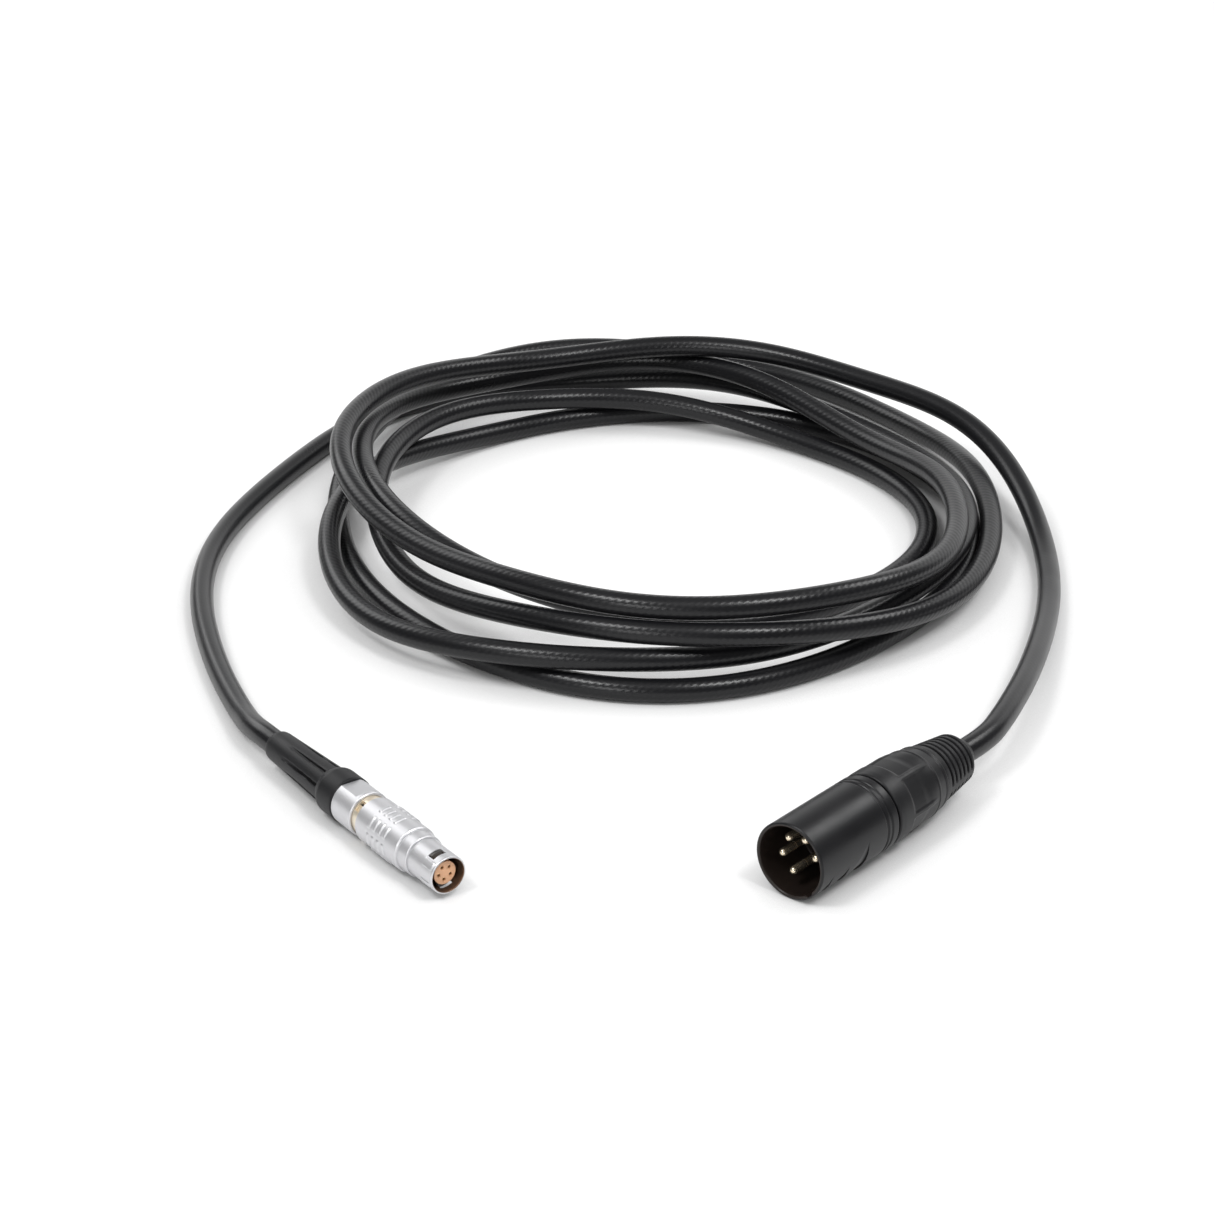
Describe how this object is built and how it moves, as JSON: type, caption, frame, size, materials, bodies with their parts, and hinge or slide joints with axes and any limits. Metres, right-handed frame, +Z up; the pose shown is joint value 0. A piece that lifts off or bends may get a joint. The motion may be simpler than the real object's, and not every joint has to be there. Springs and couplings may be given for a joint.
{
  "type": "xlr cable coil",
  "caption": "Loose coil of black screened cable with a multi-pole XLR plug at one end and a push-pull circular plug at the other.",
  "frame": {"origin": "on the surface that the coil lies on, under the middle of the box round the two plugs", "axes": "+Z up; -Y out of the XLR plug's mating face, +Y towards its cable; +X to the right as seen from that face"},
  "size_m": [0.2789, 0.304, 0.0326],
  "materials": {
    "black_metal": "satin black coating on a die cast shell",
    "black_plastic": "satin moulded plastic",
    "black_rubber": "matt moulded rubber",
    "cable_jacket": "satin flexible jacket with the lay of the screen faintly showing",
    "gold_contact": "thin gold plating, polished",
    "spring_metal": "tinned spring strip",
    "white_plastic": "natural white moulded plastic",
    "wire_insulation": "extruded insulation",
    "satin_chrome": "satin chrome plating on turned brass",
    "pale_brass": "nickel flashed turned brass",
    "tan_insulator": "moulded high temperature plastic, tan"
  },
  "bodies": {
    "root": {"xlr_shell": "black_metal", "xlr_insert": "black_plastic", "xlr_pin_1": "gold_contact", "xlr_pin_2": "gold_contact", "xlr_pin_3": "gold_contact", "xlr_pin_4": "gold_contact", "xlr_pin_5": "gold_contact", "xlr_ground_spring": "spring_metal", "xlr_chuck": "white_plastic", "xlr_bushing": "black_plastic", "xlr_bend_relief": "black_rubber", "xlr_conductors": "wire_insulation", "xlr_cable_end": "cable_jacket", "pushpull_latch_sleeve": "pale_brass", "pushpull_insert": "tan_insulator", "pushpull_contact_1": "gold_contact", "pushpull_contact_2": "gold_contact", "pushpull_contact_3": "gold_contact", "pushpull_contact_4": "gold_contact", "pushpull_contact_5": "gold_contact", "pushpull_half_shell_1": "pale_brass", "pushpull_half_shell_2": "pale_brass", "pushpull_collet": "pale_brass", "pushpull_collet_nut": "satin_chrome", "pushpull_bend_relief": "black_rubber", "pushpull_conductors": "wire_insulation", "pushpull_cable_end": "cable_jacket", "cable_tail_xlr": "cable_jacket", "cable_coil": "cable_jacket", "cable_tail_pushpull": "cable_jacket"},
    "pushpull_shell": {"pushpull_outer_shell": "satin_chrome"}
  },
  "joints": [
    {"name": "unlatch_slide", "type": "slide", "parent": "root", "child": "pushpull_shell", "axis": [-0.969, 0.247, 0], "range_m": [0, 0.0012], "stiffness_N_per_m": 1500}
  ]
}
